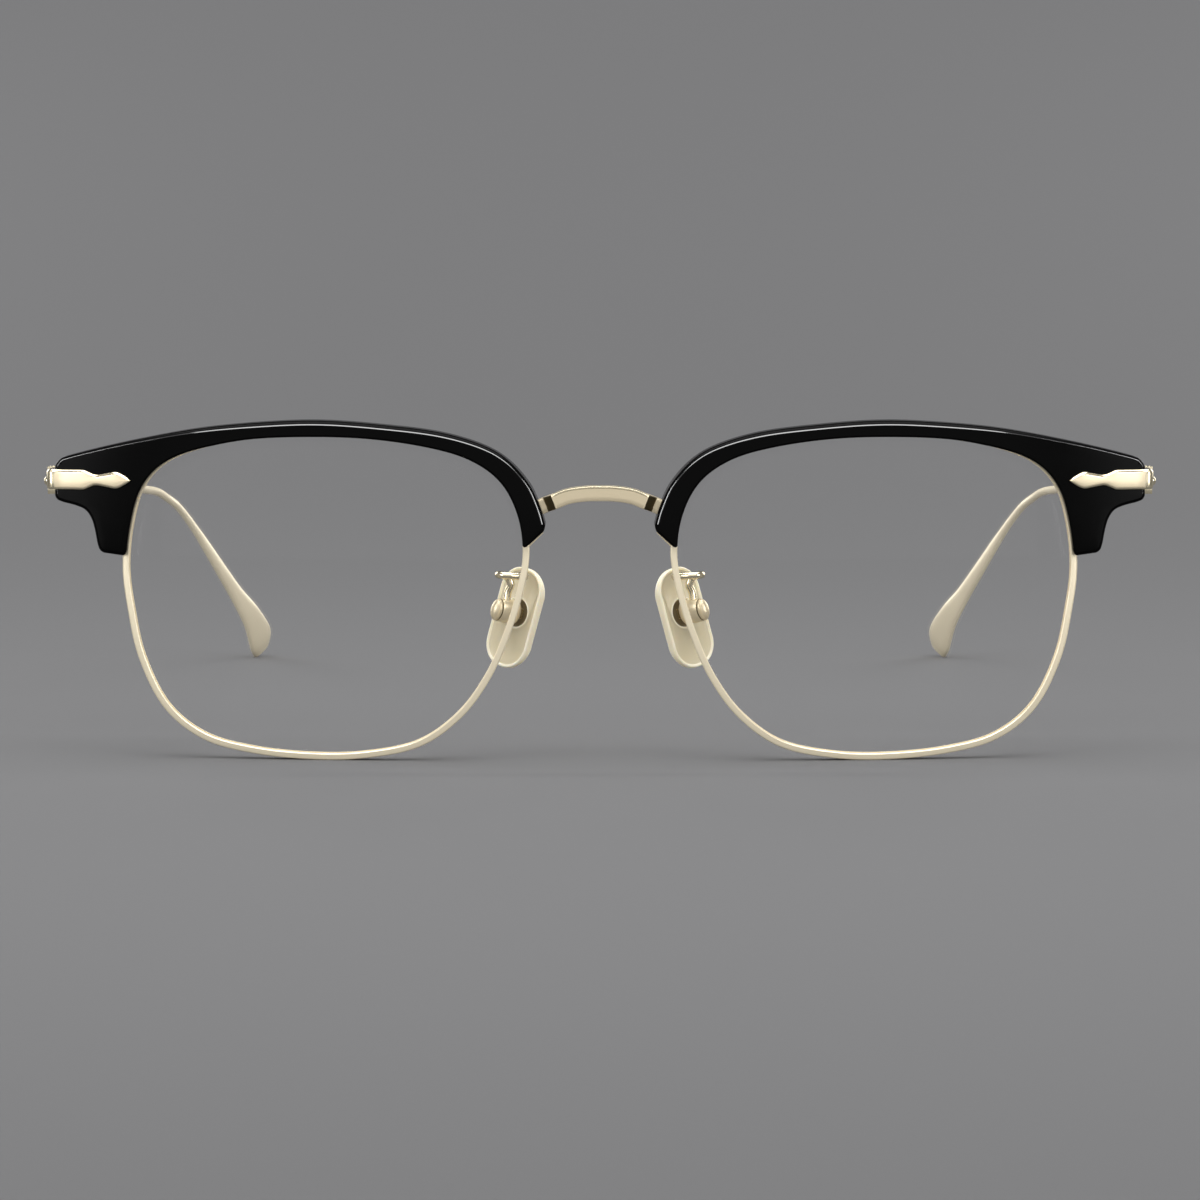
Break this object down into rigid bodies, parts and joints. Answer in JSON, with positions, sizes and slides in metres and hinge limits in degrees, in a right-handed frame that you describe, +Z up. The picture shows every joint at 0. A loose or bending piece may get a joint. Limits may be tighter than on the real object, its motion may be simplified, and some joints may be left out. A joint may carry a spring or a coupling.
{
  "type": "browline glasses",
  "caption": "Browline glasses with glossy acetate brows on thin metal rims, clear lenses, a metal bridge, folding wire temples with paddle tips and tilting silicone nose pads.",
  "frame": {"origin": "on the floor, under the middle of the open glasses", "axes": "+Z up; the wearer looks along -Y, so the lenses face -Y and the temples run back to +Y; +X is the wearer's left"},
  "size_m": [0.146, 0.1426, 0.0443],
  "materials": {
    "gold_metal": "satin, with polished bevels",
    "black_acetate": "polished",
    "clear_lens": "clear",
    "silicone": "milky and slightly translucent"
  },
  "bodies": {
    "front": {"bridge": "gold_metal", "rim_left": "gold_metal", "rim_right": "gold_metal", "lens_left": "clear_lens", "lens_right": "clear_lens", "brow_left": "black_acetate", "brow_right": "black_acetate", "brow_screws_left": "gold_metal", "brow_screws_right": "gold_metal", "endpiece_left": "gold_metal", "endpiece_right": "gold_metal", "rim_lock_left": "gold_metal", "rim_lock_right": "gold_metal", "closing_screw_left": "gold_metal", "closing_screw_right": "gold_metal", "plaque_left": "gold_metal", "plaque_right": "gold_metal", "plaque_rivet_left": "gold_metal", "plaque_rivet_right": "gold_metal", "hinge_front_left": "gold_metal", "hinge_front_right": "gold_metal", "hinge_screw_left": "gold_metal", "hinge_screw_right": "gold_metal", "pad_arm_left": "gold_metal", "pad_arm_right": "gold_metal", "pad_box_left": "gold_metal", "pad_box_right": "gold_metal", "pad_screw_left": "gold_metal", "pad_screw_right": "gold_metal"},
    "temple_left": {"hinge_temple_left": "gold_metal", "temple_left": "gold_metal"},
    "temple_right": {"hinge_temple_right": "gold_metal", "temple_right": "gold_metal"},
    "pad_left": {"nose_pad_left": "silicone", "pad_insert_left": "gold_metal"},
    "pad_right": {"nose_pad_right": "silicone", "pad_insert_right": "gold_metal"}
  },
  "joints": [
    {"name": "hinge_left", "type": "hinge", "parent": "front", "child": "temple_left", "pos_m": [0.0719, -0.05645, 0.03586], "axis": [0, 0, 1], "range_deg": [0, 84]},
    {"name": "hinge_right", "type": "hinge", "parent": "front", "child": "temple_right", "pos_m": [-0.0719, -0.05645, 0.03586], "axis": [0, 0, -1], "range_deg": [0, 82]},
    {"name": "pad_tilt_left", "type": "hinge", "parent": "front", "child": "pad_left", "pos_m": [0.01213, -0.06382, 0.01905], "axis": [0.729, 0.6561, 0.1953], "range_deg": [-8, 8]},
    {"name": "pad_tilt_right", "type": "hinge", "parent": "front", "child": "pad_right", "pos_m": [-0.01213, -0.06382, 0.01905], "axis": [0.729, -0.6561, -0.1953], "range_deg": [-8, 8]}
  ]
}
